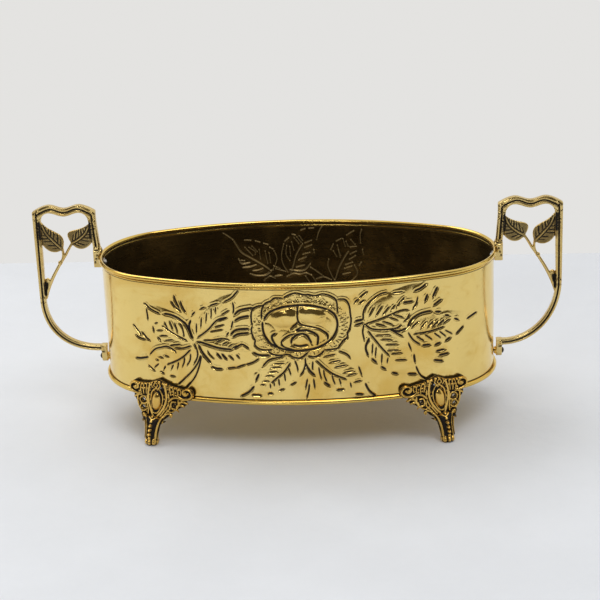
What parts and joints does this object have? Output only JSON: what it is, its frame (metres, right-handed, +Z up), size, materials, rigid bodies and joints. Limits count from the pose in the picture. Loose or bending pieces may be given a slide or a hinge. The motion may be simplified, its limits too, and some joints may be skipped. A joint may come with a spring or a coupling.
{
  "type": "planter pot",
  "caption": "Oval brass planter with a rolled rim, chased flowers on the wall, clawed cast feet and upright pierced leaf handles at the ends.",
  "frame": {"origin": "on the ground under the middle of the pot", "axes": "+X along the pot towards the right handle, -Y out of the front, +Z up"},
  "size_m": [0.4998, 0.1902, 0.215],
  "materials": {
    "wall_brass": "polished sheet with dark patina in the chasing and inside",
    "base_brass": "worn sheet",
    "handle_brass": "polished casting with dark grooves",
    "foot_brass": "polished casting with black recesses",
    "wire_steel": "drawn wire",
    "screw_steel": "dull plated",
    "dark_screw": "blackened"
  },
  "bodies": {
    "root": {"front_wall": "wall_brass", "back_wall": "wall_brass", "rim_wire": "wire_steel", "base_plate": "base_brass", "foot_front_left": "foot_brass", "foot_front_right": "foot_brass", "foot_back_left": "foot_brass", "foot_back_right": "foot_brass", "foot_screw_front_left": "screw_steel", "foot_screw_front_right": "screw_steel", "foot_screw_back_left": "screw_steel", "foot_screw_back_right": "screw_steel", "handle_left": "handle_brass", "handle_right": "handle_brass", "handle_upper_screw_left": "screw_steel", "handle_upper_screw_right": "screw_steel", "handle_upper_washer_left": "screw_steel", "handle_upper_washer_right": "screw_steel", "handle_lower_screw_left": "dark_screw", "handle_lower_screw_right": "dark_screw", "handle_lower_washer_left": "screw_steel", "handle_lower_washer_right": "screw_steel", "handle_lower_nut_left": "screw_steel", "handle_lower_nut_right": "screw_steel"}
  },
  "joints": []
}
